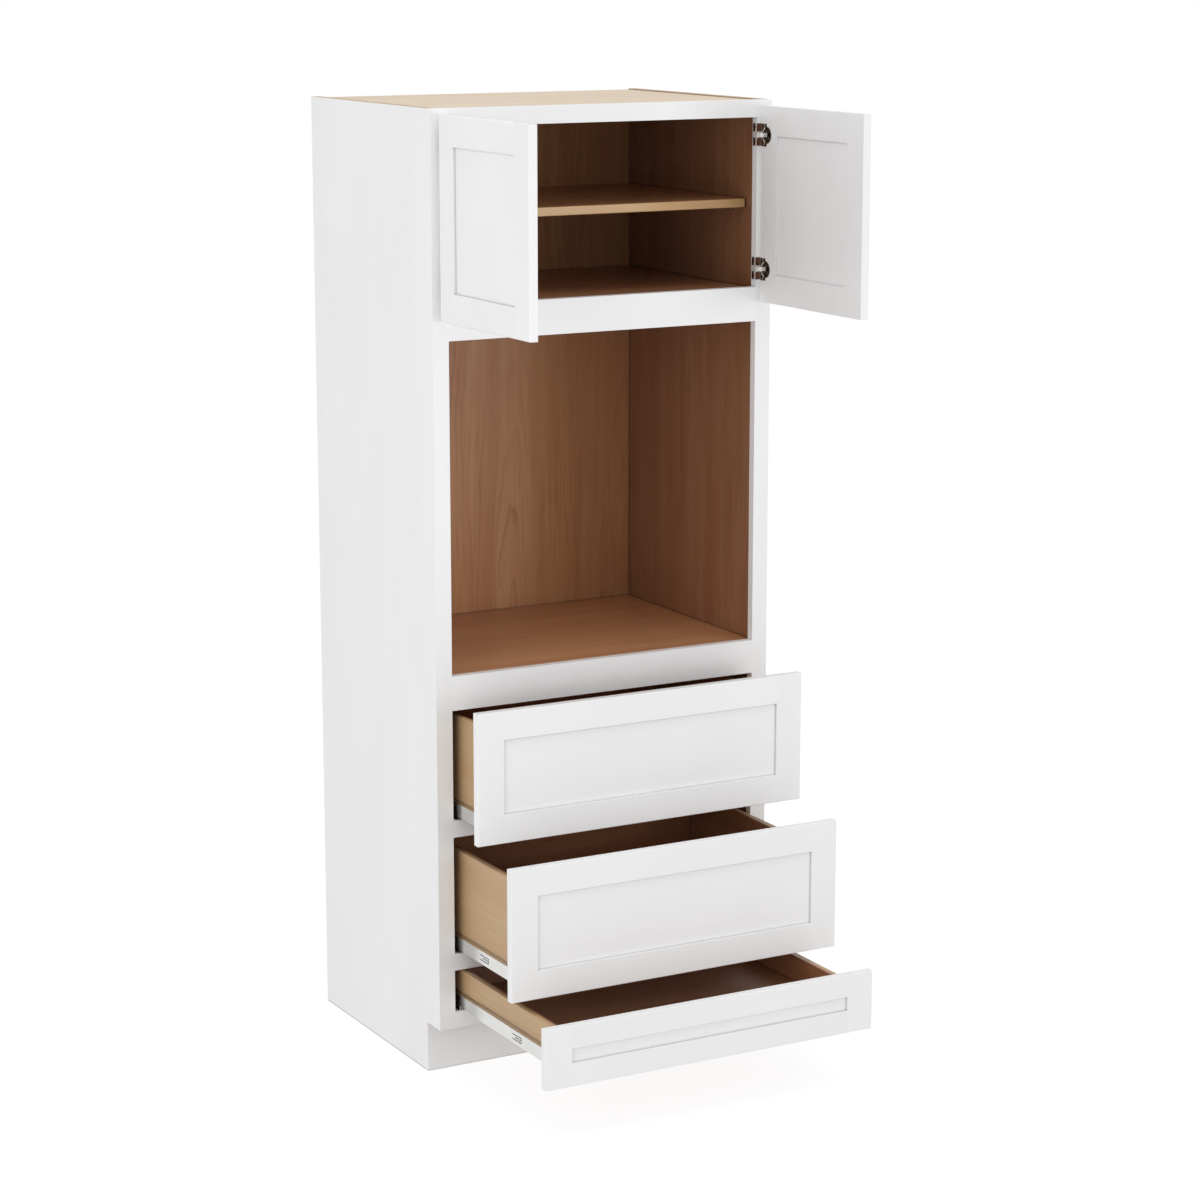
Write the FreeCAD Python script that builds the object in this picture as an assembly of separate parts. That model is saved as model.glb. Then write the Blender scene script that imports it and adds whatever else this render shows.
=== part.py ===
"""Tall kitchen cabinet for a built-in oven: face-frame carcass, a pair of doors, three drawers.

Millimetres, +Z up, +X to the right as seen from the front, the front towards -Y.
The origin is on the floor, at the middle of the back face, where the cabinet meets the wall.
The doors stand a quarter turn open and the drawers are pulled out in steps.
"""
import FreeCAD
import Part
import math
import os

# Overall size
WIDTH = 838.2
HEIGHT = 2133.6
DEPTH = 612.8
TOE_HEIGHT = 114.3
TOE_RECESS = 63.5

# Sheet thicknesses and the grooves that hold the sheets
SIDE_T = 19.05
BACK_T = 6.35
DECK_T = 19.05
TOP_T = 12.7
TOE_T = 12.7
DADO = 6.0
TOP_DROP = 2.4
DECK_DROP = 6.35

# Face frame: members and the heights of its openings
FRAME_T = 19.05
STILE_W = 38.1
RAIL_W = 38.1
WIDE_RAIL_W = 76.2
LOWER_OPEN = 95.25
MIDDLE_OPEN = 266.7
UPPER_OPEN = 247.65
OVEN_OPEN = 730.25

# Adjustable shelf and its pins
SHELF_T = 19.05
SHELF_OVER_MIDDLE = 3.225
SHELF_SETBACK = 54.0
SHELF_END_GAP = 3.0
SHELF_BACK_GAP = 8.0
SHELF_CORNER = 3.0
PIN_R = 2.5
PIN_FIT = 0.05
PIN_DEPTH = 10.0
PIN_REACH = 9.0
PIN_PAD_R = 5.0
PIN_INSET = 60.0

# Cleats under the oven deck
CLEAT_T = 19.05
CLEAT_H = 38.1

# Doors and drawer fronts, each a grooved frame round a flat panel
REVEAL = 12.7
DOOR_GAP = 3.2
LAP = 31.75
FRONT_T = 19.05
SHUT_GAP = 2.0
MEMBER_W = 63.5
LOW_RAIL_W = 50.8
PANEL_SET = 6.35
PANEL_T = 9.5
PANEL_FIT = 0.15
GROOVE = 9.5
GROOVE_ROOM = 0.5
STICK_BEVEL = 0.4
ARRIS = 1.2
EDGE_MATCH = 0.01

# Drawer boxes
RUN_GAP = 10.0
BOX_LENGTH = 533.4
BOX_T = 15.9
BOX_END_T = 15.9
BOX_LIFT = 10.0
DEEP_BOX_H = 219.0
SHALLOW_BOX_H = 79.0
BOX_DADO = 6.0
BOTTOM_T = 6.35
BOTTOM_UP = 12.7
BOX_ARRIS = 1.0

# Telescopic slides, nested channels of folded sheet
SLIDE_W = 12.7
SLIDE_H = 30.0
SLIDE_LIFT = 8.0
SLIDE_SHEET = 1.2
SLIDE_RUN = 0.4
DRAWER_RAIL_L = 367.0
DRAWER_RAIL_START = 2.0
MID_RAIL_L = 400.0
MID_RAIL_START = 14.0
MID_RAIL_SHORT = 3.0
FIXED_RAIL_L = 533.0
FIXED_RAIL_START = 3.0
FOOT_W = 16.0
LATCH_L = 42.0
LATCH_H = 13.0
LATCH_KERF = 2.2
LATCH_FROM_FRONT = 156.0
LATCH_BAR_L = 30.0
BRACKET_T = 3.0
BRACKET_W = 40.0
BRACKET_H = 62.0
TONGUE_L = 22.0
TONGUE_FIT = 0.15

# Drawer travel: how far each front stands off the frame as shown
UPPER_OUT = 152.4
MIDDLE_OUT = 304.8
LOWER_OUT = 457.2
MID_SHARE = 0.5

# Concealed hinges: cup in the door, link, and a base on the frame stile
DOOR_TURN = 90.0
AXIS_IN = 5.6
AXIS_BACK = 4.2
HINGE_FROM_TOP = 63.5
HINGE_FROM_BOTTOM = 73.0
CUP_R = 17.5
CUP_FIT = 0.1
CUP_EDGE = 4.0
CUP_DEPTH = 12.8
CUP_WALL = 1.0
PLATE_T = 0.8
PLATE_H = 49.0
PLATE_W = 16.0
WRAP_W = 11.0
FLANGE_IN = 1.2
FLANGE_W = 20.0
ARM_H = 13.0
ARM_T = 2.4
LINK_T = 1.8
LINK_H = 9.0
LINK_BOW = 3.5
KNUCKLE_R = 2.4
HINGE_PIN_R = 1.2
HINGE_PIN_FIT = 0.06
JOINT_GAP = 0.4
LUG_HALF = 3.0
PIVOT_ARM = 25.0
CUP_ARM = 10.0
CUP_ARM_ANGLE = 63.0

# Places worked out from the sizes above
HALF = WIDTH / 2
FRONT = -DEPTH
FRAME_BACK = FRONT + FRAME_T
BACK_FACE = -BACK_T
SIDE_IN = HALF - SIDE_T
OPEN_X = HALF - STILE_W
LOWER_Z = TOE_HEIGHT + RAIL_W
MIDDLE_Z = LOWER_Z + LOWER_OPEN + RAIL_W
UPPER_Z = MIDDLE_Z + MIDDLE_OPEN + RAIL_W
UPPER_TOP = UPPER_Z + UPPER_OPEN
OVEN_Z = UPPER_TOP + WIDE_RAIL_W
OVEN_TOP = OVEN_Z + OVEN_OPEN
DOOR_Z = OVEN_TOP + WIDE_RAIL_W
DOOR_TOP = HEIGHT - RAIL_W
SHELF_TOP = (DOOR_Z + DOOR_TOP) / 2 + SHELF_OVER_MIDDLE
SLIDE_X = OPEN_X - RUN_GAP
BOX_X = SLIDE_X - SLIDE_W
SHUT_BACK = FRONT - SHUT_GAP
SHUT_FACE = SHUT_BACK - FRONT_T


def block(x0, x1, y0, y1, z0, z1):
    """A box between two corners."""
    return Part.makeBox(x1 - x0, y1 - y0, z1 - z0, FreeCAD.Vector(x0, y0, z0))


def post(x, y, z0, z1, radius):
    """An upright cylinder."""
    return Part.makeCylinder(radius, z1 - z0, FreeCAD.Vector(x, y, z0))


def mirrored(shape):
    """The same piece on the other hand of the cabinet."""
    return shape.mirror(FreeCAD.Vector(0, 0, 0), FreeCAD.Vector(1, 0, 0))


def pair(shape):
    """A piece and its mirror image, left and right."""
    return [shape, mirrored(shape)]


def eased(shape, size, chosen):
    """Chamfers the straight edges that a test of their middle point chooses."""
    edges = [edge for edge in shape.Edges if chosen(edge.CenterOfMass)]
    return shape.makeChamfer(size, edges)


def rounded(shape, radius, chosen):
    """Rounds the straight edges that a test of their middle point chooses."""
    edges = [edge for edge in shape.Edges if chosen(edge.CenterOfMass)]
    return shape.makeFillet(radius, edges)


def turned(shapes, angle, x, y):
    """Solids turned about an upright axis."""
    moved = []
    for shape in shapes:
        copy = shape.copy()
        copy.rotate(FreeCAD.Vector(x, y, 0), FreeCAD.Vector(0, 0, 1), angle)
        moved.append(copy)
    return moved


def shifted(shapes, y):
    """Solids moved along the drawer's travel."""
    moved = []
    for shape in shapes:
        copy = shape.copy()
        copy.translate(FreeCAD.Vector(0, y, 0))
        moved.append(copy)
    return moved


def save(name, shapes):
    """Writes one node, a single solid or a group of separate ones."""
    solids = [solid for shape in shapes for solid in shape.Solids]
    whole = solids[0] if len(solids) == 1 else Part.makeCompound(solids)
    whole.exportStep(f"parts/{name}.step")


# Carcass

def deck_block(top, thickness):
    """A deck between the sides, with its ends let into their grooves."""
    reach = SIDE_IN + DADO
    return block(-reach, reach, FRAME_BACK, BACK_FACE, top - thickness, top)


def back_block():
    """The back sheet, let into a rebate along each side."""
    reach = SIDE_IN + DADO
    return block(-reach, reach, BACK_FACE, 0, 0, HEIGHT - TOP_DROP)


def toe_board_block():
    """The board that closes the toe space across the whole width."""
    face = FRONT + TOE_RECESS
    return block(-HALF, HALF, face, face + TOE_T, 0, TOE_HEIGHT)


def deck_tops():
    """Upper faces of the bottom, the oven deck and the deck under the doors."""
    return [LOWER_Z - DECK_DROP, OVEN_Z - DECK_DROP, DOOR_Z - DECK_DROP]


def pin_places():
    """Y of the front and rear shelf pins."""
    return [FRAME_BACK + SHELF_SETBACK + PIN_INSET, BACK_FACE - SHELF_BACK_GAP - PIN_INSET]


def shelf_pin(y):
    """A left-hand pin: a spigot in the side and a round pad under the shelf."""
    axis = FreeCAD.Vector(1, 0, 0)
    z = SHELF_TOP - SHELF_T - PIN_PAD_R
    spigot_start = FreeCAD.Vector(-SIDE_IN - PIN_DEPTH, y, z)
    spigot = Part.makeCylinder(PIN_R - PIN_FIT, PIN_DEPTH, spigot_start, axis)
    pad = Part.makeCylinder(PIN_PAD_R, PIN_REACH, FreeCAD.Vector(-SIDE_IN, y, z), axis)
    return spigot.fuse(pad).removeSplitter()


def left_side_panel():
    """The left side, notched at the toe, grooved for the decks and bored for the pins."""
    toe_back = FRONT + TOE_RECESS + TOE_T
    outline = [
        (FRAME_BACK, TOE_HEIGHT),
        (toe_back, TOE_HEIGHT),
        (toe_back, 0),
        (0, 0),
        (0, HEIGHT),
        (FRAME_BACK, HEIGHT),
    ]
    corners = [FreeCAD.Vector(-HALF, y, z) for y, z in outline]
    face = Part.Face(Part.makePolygon(corners + corners[:1]))
    panel = face.extrude(FreeCAD.Vector(SIDE_T, 0, 0))
    for top in deck_tops():
        panel = panel.cut(deck_block(top, DECK_T))
    panel = panel.cut(deck_block(HEIGHT - TOP_DROP, TOP_T)).cut(back_block())
    axis = FreeCAD.Vector(1, 0, 0)
    for y in pin_places():
        start = FreeCAD.Vector(-SIDE_IN - PIN_DEPTH, y, SHELF_TOP - SHELF_T - PIN_PAD_R)
        panel = panel.cut(Part.makeCylinder(PIN_R, PIN_DEPTH, start, axis))
    return panel


def frame_rail(z0, z1):
    """A rail of the face frame, between the stiles."""
    return block(-OPEN_X, OPEN_X, FRONT, FRAME_BACK, z0, z1)


def oven_cleats():
    """Strips under the oven deck, one along each side and one along the back."""
    top = OVEN_Z - DECK_DROP - DECK_T
    side_strip = block(-SIDE_IN, -SIDE_IN + CLEAT_T, FRAME_BACK, BACK_FACE, top - CLEAT_H, top)
    inner = SIDE_IN - CLEAT_T
    back_strip = block(-inner, inner, BACK_FACE - CLEAT_T, BACK_FACE, top - CLEAT_H, top)
    return pair(side_strip) + [back_strip]


def build_carcass():
    """Sides, back, decks, toe board, face frame and shelf."""
    side = left_side_panel()
    save("side_panel_left", [side])
    save("side_panel_right", [mirrored(side)])
    save("back_panel", [back_block()])
    top = deck_block(HEIGHT - TOP_DROP, TOP_T)
    save("top_panel", [top])
    bottom_top, oven_top, door_top = deck_tops()
    save("bottom_deck", [deck_block(bottom_top, DECK_T)])
    save("oven_deck", [deck_block(oven_top, DECK_T)])
    save("upper_deck", [deck_block(door_top, DECK_T)])
    save("oven_deck_cleats", oven_cleats())
    save("toe_kick_board", [toe_board_block()])

    stile = block(-HALF, -OPEN_X, FRONT, FRAME_BACK, TOE_HEIGHT, HEIGHT)
    save("frame_stile_left", [stile])
    save("frame_stile_right", [mirrored(stile)])
    save("frame_bottom_rail", [frame_rail(TOE_HEIGHT, LOWER_Z)])
    drawer_rails = [frame_rail(z - RAIL_W, z) for z in (MIDDLE_Z, UPPER_Z)]
    save("frame_drawer_rails", drawer_rails)
    save("frame_oven_lower_rail", [frame_rail(UPPER_TOP, OVEN_Z)])
    save("frame_oven_upper_rail", [frame_rail(OVEN_TOP, DOOR_Z)])
    save("frame_top_rail", [frame_rail(DOOR_TOP, HEIGHT)])

    shelf_end = SIDE_IN - SHELF_END_GAP
    shelf_front = FRAME_BACK + SHELF_SETBACK
    shelf_back = BACK_FACE - SHELF_BACK_GAP
    shelf = block(-shelf_end, shelf_end, shelf_front, shelf_back, SHELF_TOP - SHELF_T, SHELF_TOP)
    corners = lambda p: abs(p.y - shelf_front) < EDGE_MATCH and abs(p.x) > shelf_end - EDGE_MATCH
    shelf = rounded(shelf, SHELF_CORNER, corners)
    front_edges = lambda p: abs(p.y - shelf_front) < EDGE_MATCH and abs(p.x) < shelf_end / 2
    shelf = eased(shelf, BOX_ARRIS, front_edges)
    save("adjustable_shelf", [shelf])
    save("shelf_pins", [side for y in pin_places() for side in pair(shelf_pin(y))])


# Doors and drawer fronts

def framed_front(x0, x1, z0, z1, rail_w):
    """Stiles, rails and panel of one front, shut against the frame."""
    back = SHUT_BACK
    face = SHUT_FACE
    outline = block(x0, x1, face, back, z0, z1)
    outline = eased(outline, ARRIS, lambda p: abs(p.y - face) < EDGE_MATCH)
    inner_x0 = x0 + MEMBER_W
    inner_x1 = x1 - MEMBER_W
    inner_z0 = z0 + rail_w
    inner_z1 = z1 - rail_w

    depth = STICK_BEVEL
    wide = [
        (inner_x0 - depth, inner_z0 - depth),
        (inner_x1 + depth, inner_z0 - depth),
        (inner_x1 + depth, inner_z1 + depth),
        (inner_x0 - depth, inner_z1 + depth),
    ]
    narrow = [(inner_x0, inner_z0), (inner_x1, inner_z0), (inner_x1, inner_z1), (inner_x0, inner_z1)]
    rings = []
    for points, y in ((wide, face), (narrow, face + depth)):
        corners = [FreeCAD.Vector(x, y, z) for x, z in points]
        rings.append(Part.makePolygon(corners + corners[:1]))
    bevel = Part.makeLoft(rings, True, True)

    panel_face = face + PANEL_SET
    panel_back = panel_face + PANEL_T
    groove = GROOVE + GROOVE_ROOM
    slot_x = (inner_x0 - groove, inner_x1 + groove)
    slot_y = (panel_face - PANEL_FIT, panel_back + PANEL_FIT)
    slot = block(*slot_x, *slot_y, inner_z0 - groove, inner_z1 + groove)
    tall_slot = block(*slot_x, *slot_y, z0, z1)
    tongue_x = (inner_x0 - GROOVE, inner_x1 + GROOVE)
    stiles = []
    for at in (x0, inner_x1):
        stile = block(at, at + MEMBER_W, face, back, z0, z1)
        stiles.append(stile.common(outline).cut(bevel).cut(tall_slot))
    rails = []
    for at in (z0, inner_z1):
        rail = block(inner_x0, inner_x1, face, back, at, at + rail_w)
        tenon = block(*tongue_x, panel_face, panel_back, at, at + rail_w)
        rails.append(rail.common(outline).fuse(tenon).cut(bevel).cut(slot).removeSplitter())
    panel = block(*tongue_x, panel_face, panel_back, inner_z0 - GROOVE, inner_z1 + GROOVE)
    return stiles, rails, [panel]


# Hinges, modelled shut on the left-hand door

def hinge_points():
    """Axis of the door, pivot of the link, and the link's end in the cup when shut."""
    edge = -HALF + REVEAL
    axis = (edge + AXIS_IN, SHUT_FACE + AXIS_BACK)
    middle = math.radians(CUP_ARM_ANGLE - DOOR_TURN / 2)
    start = math.radians(CUP_ARM_ANGLE)
    pivot = (axis[0] + PIVOT_ARM * math.cos(middle), axis[1] + PIVOT_ARM * math.sin(middle))
    end = (axis[0] + CUP_ARM * math.cos(start), axis[1] + CUP_ARM * math.sin(start))
    return axis, pivot, end


def link_turn():
    """Angle that the link sweeps while the door turns by its quarter."""
    half = math.radians(DOOR_TURN / 2)
    return 2 * math.degrees(math.atan2(CUP_ARM * math.sin(half), PIVOT_ARM - CUP_ARM * math.cos(half)))


def hinge_heights():
    """Middle heights of the two hinges of a door."""
    bottom = DOOR_Z - LAP
    top = HEIGHT - REVEAL
    return [bottom + HINGE_FROM_BOTTOM, top - HINGE_FROM_TOP]


def cup_centre_x():
    """X of the cup in the left door when it is shut."""
    return -HALF + REVEAL + CUP_EDGE + CUP_R


def cup_bore(z):
    """The round pocket for one cup in the back of the door."""
    start = FreeCAD.Vector(cup_centre_x(), SHUT_BACK - CUP_DEPTH, z)
    return Part.makeCylinder(CUP_R + CUP_FIT, CUP_DEPTH, start, FreeCAD.Vector(0, 1, 0))


def hinge_cup(z):
    """A pressed cup with a flange on the back of the door and lugs beside the link's end."""
    x = cup_centre_x()
    floor = SHUT_BACK - CUP_DEPTH
    forward = FreeCAD.Vector(0, 1, 0)
    cup = Part.makeCylinder(CUP_R, CUP_DEPTH, FreeCAD.Vector(x, floor, z), forward)
    edge = -HALF + REVEAL + FLANGE_IN
    plate_y = (SHUT_BACK, SHUT_BACK + PLATE_T)
    flange = block(edge, edge + FLANGE_W, *plate_y, z - PLATE_H / 2, z + PLATE_H / 2)
    rim = Part.makeCylinder(CUP_R + PLATE_T, PLATE_T, FreeCAD.Vector(x, SHUT_BACK, z), forward)
    hollow_start = FreeCAD.Vector(x, floor + CUP_WALL, z)
    hollow = Part.makeCylinder(CUP_R - CUP_WALL, CUP_DEPTH + PLATE_T, hollow_start, forward)
    body = cup.fuse(flange).fuse(rim)
    mouth = block(-HALF, x, *plate_y, z - ARM_H / 2, z + ARM_H / 2)

    end = hinge_points()[2]
    lug_x = (end[0] - LUG_HALF, end[0] + LUG_HALF)
    lug_y = (floor, end[1] + LUG_HALF)
    link_room = LINK_H / 2 + JOINT_GAP
    lugs = block(*lug_x, *lug_y, z - CUP_R, z + CUP_R).common(cup)
    lugs = lugs.cut(block(*lug_x, *lug_y, z - link_room, z + link_room))
    return body.cut(hollow).cut(mouth).fuse(lugs).removeSplitter()


def hinge_base(z):
    """Plate on the stile's inner edge, its wrap on the face, and the arm that holds the pivot."""
    pivot = hinge_points()[1]
    edge = -OPEN_X
    low = z - PLATE_H / 2
    high = z + PLATE_H / 2
    plate = block(edge, edge + PLATE_T, FRONT - PLATE_T, FRONT + PLATE_W, low, high)
    wrap = block(edge - WRAP_W, edge + PLATE_T, FRONT - PLATE_T, FRONT, low, high)
    arm_y = pivot[1]
    arm_low = z - ARM_H / 2
    arm_high = z + ARM_H / 2
    arm = block(edge, edge + ARM_T, arm_y, FRONT + PLATE_W, arm_low, arm_high)
    ear = block(edge, pivot[0], arm_y - KNUCKLE_R, arm_y + KNUCKLE_R, arm_low, arm_high)
    knuckle = post(pivot[0], arm_y, arm_low, arm_high, KNUCKLE_R)
    body = plate.fuse(wrap).fuse(arm).fuse(ear).fuse(knuckle)
    room_r = KNUCKLE_R + JOINT_GAP
    room_low = z - LINK_H / 2 - JOINT_GAP
    room_high = z + LINK_H / 2 + JOINT_GAP
    room = post(pivot[0], arm_y, room_low, room_high, room_r)
    room = room.fuse(block(edge, pivot[0], arm_y - room_r, arm_y + room_r, room_low, room_high))
    pin = post(pivot[0], arm_y, arm_low, arm_high, HINGE_PIN_R)
    return body.cut(room).fuse(pin).removeSplitter()


def hinge_link(z):
    """A bowed link from the pivot on the arm into the cup, in its shut place."""
    pivot, end = hinge_points()[1:]
    along = FreeCAD.Vector(end[0] - pivot[0], end[1] - pivot[1], 0)
    length = along.Length
    along.normalize()
    across = FreeCAD.Vector(-along.y, along.x, 0)
    if across.y > 0:
        across = across.negative()
    low = FreeCAD.Vector(0, 0, z - LINK_H / 2)
    base = FreeCAD.Vector(pivot[0], pivot[1], 0) + low

    def at(u, w):
        """A point u along the link and w to the side it bows to."""
        return base + along * u + across * w

    half = LINK_T / 2
    outline = [
        Part.Arc(at(0, half), at(length / 2, LINK_BOW + half), at(length, half)),
        Part.LineSegment(at(length, half), at(length, -half)),
        Part.Arc(at(length, -half), at(length / 2, LINK_BOW - half), at(0, -half)),
        Part.LineSegment(at(0, -half), at(0, half)),
    ]
    wire = Part.Wire([curve.toShape() for curve in outline])
    blade = Part.Face(wire).extrude(FreeCAD.Vector(0, 0, LINK_H))
    top = z + LINK_H / 2
    eye = post(pivot[0], pivot[1], z - LINK_H / 2, top, KNUCKLE_R)
    curl = post(end[0], end[1], z - LINK_H / 2, top, LINK_T)
    hole = post(pivot[0], pivot[1], z - LINK_H, z + LINK_H, HINGE_PIN_R + HINGE_PIN_FIT)
    return blade.fuse(eye).fuse(curl).cut(hole).removeSplitter()


def build_doors():
    """Both doors, a quarter turn open, with their hinges."""
    edge = -HALF + REVEAL
    bottom = DOOR_Z - LAP
    top = HEIGHT - REVEAL
    stiles, rails, panel = framed_front(edge, -DOOR_GAP / 2, bottom, top, MEMBER_W)
    heights = hinge_heights()
    for z in heights:
        stiles[0] = stiles[0].cut(cup_bore(z))
    axis, pivot = hinge_points()[:2]
    groups = {
        "door_stiles": turned(stiles, -DOOR_TURN, *axis),
        "door_rails": turned(rails, -DOOR_TURN, *axis),
        "door_panel": turned(panel, -DOOR_TURN, *axis),
        "hinge_cups": turned([hinge_cup(z) for z in heights], -DOOR_TURN, *axis),
        "hinge_links": turned([hinge_link(z) for z in heights], link_turn(), *pivot),
        "hinge_bases": [hinge_base(z) for z in heights],
    }
    for name, shapes in groups.items():
        save(f"left_{name}", shapes)
        save(f"right_{name}", [mirrored(shape) for shape in shapes])


# Drawers and their slides

def channel(centre, width, sheet, y0, y1, z0, z1):
    """A folded channel, open downwards."""
    half = width / 2
    body = block(centre - half, centre + half, y0, y1, z0, z1)
    return body.cut(block(centre - half + sheet, centre + half - sheet, y0, y1, z0, z1 - sheet))


def latch_kerfs(y0, z):
    """Cuts that free two latch fingers in the outer wall of the left drawer rail."""
    wall = (-SLIDE_X, -SLIDE_X + SLIDE_SHEET)
    y1 = y0 + LATCH_L
    low = z - LATCH_H / 2
    high = z + LATCH_H / 2
    return [
        block(*wall, y0, y1, low, low + LATCH_KERF),
        block(*wall, y0, y1, high - LATCH_KERF, high),
        block(*wall, y0, y0 + LATCH_BAR_L, z - LATCH_KERF / 2, z + LATCH_KERF / 2),
        block(*wall, y0, y0 + LATCH_KERF, low, high),
    ]


def slide_rails(sill):
    """Fixed, middle and drawer rails of the left slide, shut, over an opening's sill."""
    centre = -SLIDE_X + SLIDE_W / 2
    step = SLIDE_SHEET + SLIDE_RUN
    top = sill + SLIDE_LIFT + SLIDE_H
    low = sill + SLIDE_LIFT

    start = SHUT_BACK + DRAWER_RAIL_START
    drawer_rail = channel(centre, SLIDE_W, SLIDE_SHEET, start, start + DRAWER_RAIL_L, low, top)
    for kerf in latch_kerfs(start + LATCH_FROM_FRONT, low + SLIDE_H / 2):
        drawer_rail = drawer_rail.cut(kerf)

    mid_start = FRONT + MID_RAIL_START
    mid_y = (mid_start, mid_start + MID_RAIL_L)
    mid_rail = channel(centre, SLIDE_W - 2 * step, SLIDE_SHEET, *mid_y, low + MID_RAIL_SHORT, top - step)

    fixed_start = FRONT + FIXED_RAIL_START
    fixed_y = (fixed_start, fixed_start + FIXED_RAIL_L)
    foot_z = (sill, sill + SLIDE_SHEET)
    fixed_rail = channel(centre, SLIDE_W - 4 * step, SLIDE_SHEET, *fixed_y, sill, top - 2 * step)
    foot = block(centre - FOOT_W / 2, centre + FOOT_W / 2, *fixed_y, *foot_z)
    inside = SLIDE_W / 2 - 2 * step - SLIDE_SHEET
    well = block(centre - inside, centre + inside, *fixed_y, *foot_z)
    fixed_rail = fixed_rail.fuse(foot).cut(well).removeSplitter()
    return fixed_rail, mid_rail, drawer_rail


def rear_bracket(sill):
    """A bracket on the back sheet with a tongue inside the fixed rail."""
    centre = -SLIDE_X + SLIDE_W / 2
    step = SLIDE_SHEET + SLIDE_RUN
    rail_top = sill + SLIDE_LIFT + SLIDE_H - 2 * step - SLIDE_SHEET
    rail_end = FRONT + FIXED_RAIL_START + FIXED_RAIL_L
    half = SLIDE_W / 2 - 2 * step - SLIDE_SHEET - TONGUE_FIT
    plate_x = (centre - BRACKET_W / 2, centre + BRACKET_W / 2)
    plate_low = sill - DECK_DROP
    plate = block(*plate_x, BACK_FACE - BRACKET_T, BACK_FACE, plate_low, plate_low + BRACKET_H)
    tongue_y = (rail_end - TONGUE_L, BACK_FACE)
    tongue = block(centre - half, centre + half, *tongue_y, sill, rail_top - TONGUE_FIT)
    return plate.fuse(tongue).removeSplitter()


def drawer_box(sill, height):
    """Sides, ends and bottom of one drawer box, shut."""
    low = sill + BOX_LIFT
    high = low + height
    y0 = SHUT_BACK
    y1 = SHUT_BACK + BOX_LENGTH
    inner = BOX_X - BOX_T
    bottom_z = low + BOTTOM_UP
    reach = inner + BOX_DADO
    ends = [
        block(-reach, reach, y0, y0 + BOX_END_T, low, high),
        block(-reach, reach, y1 - BOX_END_T - BOX_DADO, y1 - BOX_DADO, bottom_z + BOTTOM_T, high),
    ]
    front_y = y0 + BOX_END_T - BOX_DADO
    bottom = block(-reach, reach, front_y, y1 - BOX_DADO, bottom_z, bottom_z + BOTTOM_T)
    ends[0] = ends[0].cut(bottom)
    side = block(-BOX_X, -inner, y0, y1, low, high)
    middle_x = BOX_T / 2 - BOX_X
    top_edges = lambda p: abs(p.z - high) < EDGE_MATCH and abs(p.x - middle_x) > BOX_T / 4
    side = eased(side, BOX_ARRIS, top_edges)
    for piece in ends + [bottom]:
        side = side.cut(piece)
    return pair(side), ends, [bottom]


def drawer_plans():
    """Name, sill, front heights, rail width, box height and reach of each drawer."""
    lower_split = MIDDLE_Z - RAIL_W / 2
    upper_split = UPPER_Z - RAIL_W / 2
    half = REVEAL / 2
    return [
        ("lower", LOWER_Z, TOE_HEIGHT + REVEAL, lower_split - half, LOW_RAIL_W, SHALLOW_BOX_H, LOWER_OUT),
        ("middle", MIDDLE_Z, lower_split + half, upper_split - half, MEMBER_W, DEEP_BOX_H, MIDDLE_OUT),
        ("upper", UPPER_Z, upper_split + half, UPPER_TOP + LAP, MEMBER_W, DEEP_BOX_H, UPPER_OUT),
    ]


def build_drawers():
    """The three drawers, pulled out, on their slides."""
    edge = HALF - REVEAL
    brackets = []
    for name, sill, z0, z1, rail_w, height, out in drawer_plans():
        travel = SHUT_GAP - out
        stiles, rails, panel = framed_front(-edge, edge, z0, z1, rail_w)
        sides, ends, bottom = drawer_box(sill, height)
        fixed_rail, mid_rail, drawer_rail = slide_rails(sill)
        save(f"{name}_front_stiles", shifted(stiles, travel))
        save(f"{name}_front_rails", shifted(rails, travel))
        save(f"{name}_front_panel", shifted(panel, travel))
        save(f"{name}_box_sides", shifted(sides, travel))
        save(f"{name}_box_ends", shifted(ends, travel))
        save(f"{name}_box_bottom", shifted(bottom, travel))
        save(f"{name}_drawer_rails", shifted(pair(drawer_rail), travel))
        save(f"{name}_middle_rails", shifted(pair(mid_rail), travel * MID_SHARE))
        save(f"{name}_fixed_rails", pair(fixed_rail))
        brackets += pair(rear_bracket(sill))
    save("slide_rear_brackets", brackets)


os.makedirs("parts", exist_ok=True)
build_carcass()
build_doors()
build_drawers()
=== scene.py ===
"""Looks of a tall oven cabinet: satin paint, maple ply, zinc slides and nickel hinges in a white studio.

Every piece is in metres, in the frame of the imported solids: +Z up, the front towards -Y, the wall at Y = 0.
"""
import logging
import math
from dataclasses import dataclass
from enum import Enum
from typing import Any, Callable, Iterable

import bpy
from mathutils import Euler, Matrix, Vector


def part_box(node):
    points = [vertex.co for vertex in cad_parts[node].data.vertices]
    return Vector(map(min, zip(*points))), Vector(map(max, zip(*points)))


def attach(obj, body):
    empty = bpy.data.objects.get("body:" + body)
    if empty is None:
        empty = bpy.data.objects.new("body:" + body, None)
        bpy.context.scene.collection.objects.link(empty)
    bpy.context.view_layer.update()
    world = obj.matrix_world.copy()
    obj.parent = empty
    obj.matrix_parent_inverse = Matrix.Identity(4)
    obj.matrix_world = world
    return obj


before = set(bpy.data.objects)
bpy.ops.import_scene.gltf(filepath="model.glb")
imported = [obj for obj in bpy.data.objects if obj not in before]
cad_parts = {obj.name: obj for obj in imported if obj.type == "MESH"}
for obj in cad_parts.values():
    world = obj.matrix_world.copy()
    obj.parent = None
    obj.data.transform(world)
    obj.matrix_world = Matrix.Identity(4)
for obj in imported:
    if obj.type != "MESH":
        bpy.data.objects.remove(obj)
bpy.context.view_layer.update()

LOG = logging.getLogger("oven_cabinet")
MM = 0.001
M_TO_MM = 1000.0
# samples of the ambient occlusion that paints shade into inner corners
CORNER_SHADE_SAMPLES = 8
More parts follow.
